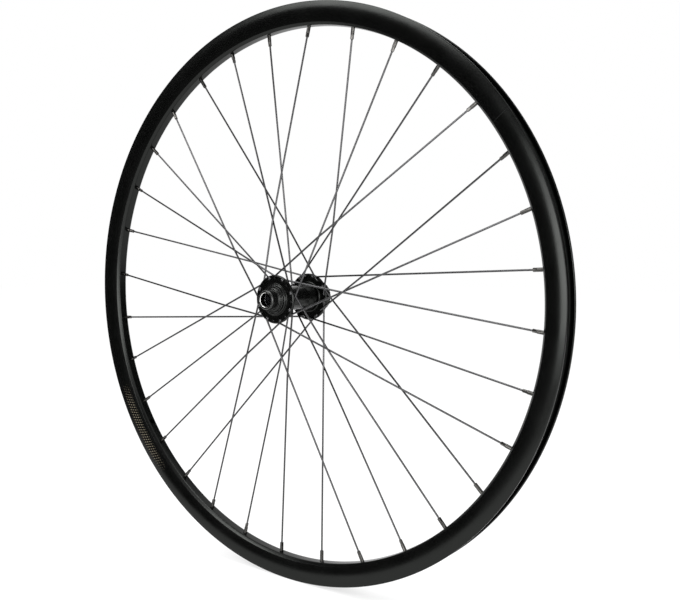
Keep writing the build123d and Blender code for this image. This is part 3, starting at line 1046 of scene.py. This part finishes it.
def makeFloor(s):
    build = bmesh.new()
    bmesh.ops.create_grid(build, x_segments=1, y_segments=1, size=s["floorHalf"])
    bmesh.ops.translate(build, vec=(0, 0, cadBox[0][2]), verts=build.verts)
    made = newObject("floor", build)
    paint = bpy.data.materials.new("paleFloor")
    paint.use_nodes = True
    tree = paint.node_tree
    tree.nodes.clear()
    matt = addNode(tree, "ShaderNodeBsdfDiffuse", values={"Color": linear(s["floorColour"])})
    white = addNode(tree, "ShaderNodeEmission", values={"Color": (1, 1, 1, 1), "Strength": 1.0})
    whiteShare = addNode(
        tree, "ShaderNodeMath", {0: backgroundRays(tree)}, {1: 1 - s["shadowShare"]}, operation="MULTIPLY",
    )
    mixed = addNode(
        tree, "ShaderNodeMixShader", {0: whiteShare.outputs[0], 1: matt.outputs[0], 2: white.outputs[0]},
    )
    addNode(tree, "ShaderNodeOutputMaterial", {"Surface": mixed.outputs[0]})
    made.data.materials.append(paint)
    return made


def makeCloth(s):
    low = cadBox[0][2] + s["clothLift"]
    inner, outer = (s["floorInner"], low), (s["screenRadius"], low)
    upper = (s["screenRadius"], s["screenTop"])
    strips = [(s["floorSweep"], (inner, outer))] + [(sweep, (outer, upper)) for sweep in s["screenSweeps"]]
    build = bmesh.new()
    for (first, last), profile in strips:
        previous = None
        for k in range(s["columns"] + 1):
            a = math.radians(first + (last - first) * k / s["columns"])
            column = [build.verts.new((r * math.sin(a), -r * math.cos(a), z)) for r, z in profile]
            if previous:
                build.faces.new([previous[0], column[0], column[1], previous[1]])
            previous = column
    made = newObject("darkScreen", build)
    cloth = bpy.data.materials.new("darkCloth")
    cloth.use_nodes = True
    shader = cloth.node_tree.nodes["Principled BSDF"]
    shader.inputs["Base Color"].default_value = linear(s["clothColour"])
    shader.inputs["Roughness"].default_value = 1.0
    made.data.materials.append(cloth)
    made.visible_camera = False
    made.visible_diffuse = False
    made.visible_shadow = False
    return made


def makeWorld(s):
    world = bpy.data.worlds.new("studio")
    bpy.context.scene.world = world
    world.use_nodes = True
    tree = world.node_tree
    tree.nodes.clear()
    level = addNode(
        tree, "ShaderNodeMapRange", {"Value": backgroundRays(tree)}, {"To Min": s["ambient"], "To Max": 1.0},
    )
    sky = addNode(tree, "ShaderNodeBackground", {"Strength": level.outputs[0]}, {"Color": (1, 1, 1, 1)})
    addNode(tree, "ShaderNodeOutputWorld", {"Surface": sky.outputs[0]})


# Lamps: four soft boxes, in metres, where radiance sets how bright the surface is, whatever its size
lamps = {
    "frontLamp": {
        "middle": (0.22, -1.0, 0.04), "target": (0.22, 0.0, 0.04), "size": (0.72, 0.40), "radiance": 6.5,
    },
    "sideLamp": {
        "middle": (1.09, -0.50, 0.10), "target": (0.0, 0.0, 0.04), "size": (0.40, 0.50), "radiance": 7.0,
    },
    "overheadLamp": {
        "middle": (0.0, -0.20, 1.30), "target": (0.0, 0.0, 0.0), "size": (0.50, 0.50), "radiance": 9.0,
    },
    "topLamp": {
        "middle": (-0.76, -1.20, 1.12), "target": (-0.50, 0.0, 0.67), "size": (0.76, 0.86), "radiance": 6.5,
    },
}


def makeLamp(name, lamp):
    data = bpy.data.lights.new(name, "AREA")
    data.shape = "RECTANGLE"
    data.size, data.size_y = lamp["size"]
    data.energy = lamp["radiance"] * math.pi * lamp["size"][0] * lamp["size"][1]
    made = bpy.data.objects.new(name, data)
    middle = Vector(lamp["middle"])
    aim = (Vector(lamp["target"]) - middle).to_track_quat("-Z", "Z")
    made.matrix_world = Matrix.Translation(middle) @ aim.to_matrix().to_4x4()
    made.visible_camera = False
    bpy.context.scene.collection.objects.link(made)


# Camera: nearly level, close to the wheel and turned towards its right side, in degrees, metres and lens mm
cameraSizes = {
    "azimuth": 39.391,
    "elevation": 3.627,
    "distance": 930.325 * mm,
    "lens": 44.293,
    "sensor": 36.0,
    "aimAzimuth": 36.318,
    "aimElevation": 3.786,
}


def outwardAt(azimuth, elevation):
    a, e = math.radians(azimuth), math.radians(elevation)
    return Vector((math.sin(a) * math.cos(e), -math.cos(a) * math.cos(e), math.sin(e)))


def makeCamera(s):
    data = bpy.data.cameras.new("photoCamera")
    data.sensor_fit = "HORIZONTAL"
    data.sensor_width = s["sensor"]
    data.lens = s["lens"]
    made = bpy.data.objects.new("photoCamera", data)
    back = outwardAt(s["aimAzimuth"], s["aimElevation"])
    across = Vector((-back.y, back.x, 0)).normalized()
    turn = Matrix((across, back.cross(across), back)).transposed()
    place = outwardAt(s["azimuth"], s["elevation"]) * s["distance"]
    made.matrix_world = Matrix.Translation(place) @ turn.to_4x4()
    bpy.context.scene.collection.objects.link(made)
    bpy.context.scene.camera = made


floor = makeFloor(stageSizes)
screen = makeCloth(stageSizes)
makeWorld(stageSizes)
for lampName, lamp in lamps.items():
    makeLamp(lampName, lamp)
makeCamera(cameraSizes)
bpy.context.scene.view_settings.view_transform = "Standard"
print("stage, lamps and camera set")
